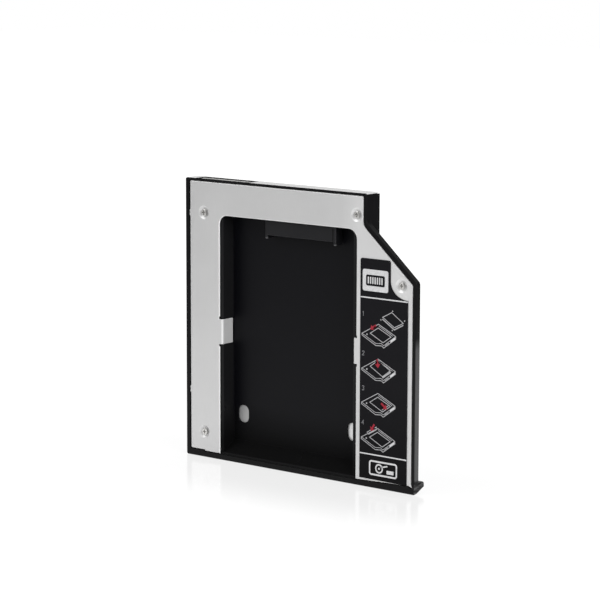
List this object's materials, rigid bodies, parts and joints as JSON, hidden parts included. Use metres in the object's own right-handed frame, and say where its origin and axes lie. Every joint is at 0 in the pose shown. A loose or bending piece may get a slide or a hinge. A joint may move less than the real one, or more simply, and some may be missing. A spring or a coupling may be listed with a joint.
{
  "type": "laptop drive caddy",
  "caption": "Slim tray that carries a laptop-size drive in an optical drive bay, with a thin side wing, open drive bay and board linking its two connectors.",
  "frame": {"origin": "centre of the front face of the front bar, on which the caddy stands", "axes": "+Z from the front bar to the rear face, +X from the thick side to the thin wing, +Y from the cover side to the bottom side"},
  "size_m": [0.128, 0.0094, 0.1261],
  "materials": {
    "frame_plastic": "black moulded plastic, fine satin",
    "cover_aluminium": "fine brushed, clear",
    "label_film": "printed black film",
    "board_laminate": "green solder mask",
    "connector_plastic": "black moulded plastic",
    "plug_plastic": "light grey moulded plastic",
    "screw_steel": "nickel plated",
    "capacitor_ceramic": "tan ceramic",
    "resistor_ceramic": "black chip",
    "contact_metal": "gold plated"
  },
  "bodies": {
    "root": {"frame": "frame_plastic", "top_cover": "cover_aluminium", "bottom_cover": "cover_aluminium", "instruction_label": "label_film", "adapter_board": "board_laminate", "drive_receptacle": "connector_plastic", "host_plug": "plug_plastic", "cover_screw_1": "screw_steel", "cover_screw_2": "screw_steel", "cover_screw_3": "screw_steel", "cover_screw_4": "screw_steel", "bottom_screw_1": "screw_steel", "bottom_screw_2": "screw_steel", "bottom_screw_3": "screw_steel", "bottom_screw_4": "screw_steel", "board_screw_1": "screw_steel", "board_screw_2": "screw_steel", "board_capacitor_1": "capacitor_ceramic", "board_capacitor_2": "capacitor_ceramic", "board_resistor_1": "resistor_ceramic", "board_resistor_2": "resistor_ceramic", "drive_signal_contact_1": "contact_metal", "drive_signal_contact_2": "contact_metal", "drive_signal_contact_3": "contact_metal", "drive_signal_contact_4": "contact_metal", "drive_signal_contact_5": "contact_metal", "drive_signal_contact_6": "contact_metal", "drive_signal_contact_7": "contact_metal", "drive_power_contact_1": "contact_metal", "drive_power_contact_2": "contact_metal", "drive_power_contact_3": "contact_metal", "drive_power_contact_4": "contact_metal", "drive_power_contact_5": "contact_metal", "drive_power_contact_6": "contact_metal", "drive_power_contact_7": "contact_metal", "drive_power_contact_8": "contact_metal", "drive_power_contact_9": "contact_metal", "drive_power_contact_10": "contact_metal", "drive_power_contact_11": "contact_metal", "drive_power_contact_12": "contact_metal", "drive_power_contact_13": "contact_metal", "drive_power_contact_14": "contact_metal", "drive_power_contact_15": "contact_metal", "host_signal_contact_1": "contact_metal", "host_signal_contact_2": "contact_metal", "host_signal_contact_3": "contact_metal", "host_signal_contact_4": "contact_metal", "host_signal_contact_5": "contact_metal", "host_signal_contact_6": "contact_metal", "host_signal_contact_7": "contact_metal", "host_power_contact_1": "contact_metal", "host_power_contact_2": "contact_metal", "host_power_contact_3": "contact_metal", "host_power_contact_4": "contact_metal", "host_power_contact_5": "contact_metal", "host_power_contact_6": "contact_metal"}
  },
  "joints": []
}
